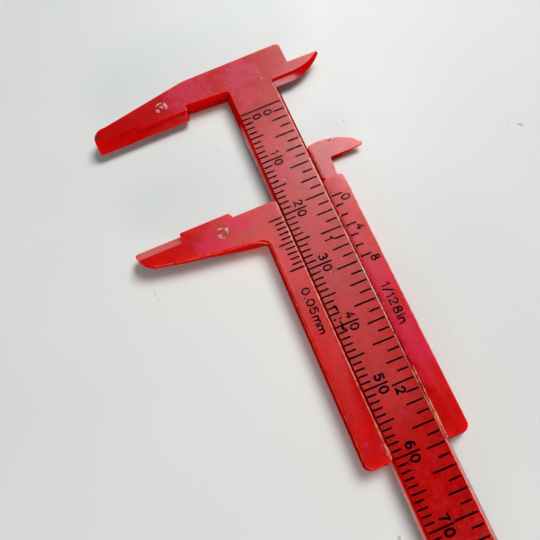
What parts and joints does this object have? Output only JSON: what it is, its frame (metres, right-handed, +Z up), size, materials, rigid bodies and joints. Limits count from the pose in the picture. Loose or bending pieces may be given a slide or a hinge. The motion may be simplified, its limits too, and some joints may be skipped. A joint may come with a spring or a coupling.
{
  "type": "vernier caliper",
  "caption": "Small moulded plastic vernier caliper: long outer jaws, short inner jaws and a slider that runs along a dovetail beam with printed scales.",
  "frame": {"origin": "centre of the tool's footprint, on the table it lies on, with the slider at its rest reading of 20.18 mm", "axes": "+X along the beam from the jaws towards the tail, +Y across the beam from the outer jaws towards the inner jaws, +Z up out of the printed face"},
  "size_m": [0.108, 0.0424, 0.003],
  "materials": {
    "beam_red_plastic": "glossy moulded plastic",
    "slider_red_plastic": "glossy moulded plastic"
  },
  "bodies": {
    "beam": {"main_beam": "beam_red_plastic"},
    "slider": {"slider": "slider_red_plastic"}
  },
  "joints": [
    {"name": "slider_slide", "type": "slide", "parent": "beam", "child": "slider", "axis": [1, 0, 0], "range_m": [-0.02018, 0.05982]}
  ]
}
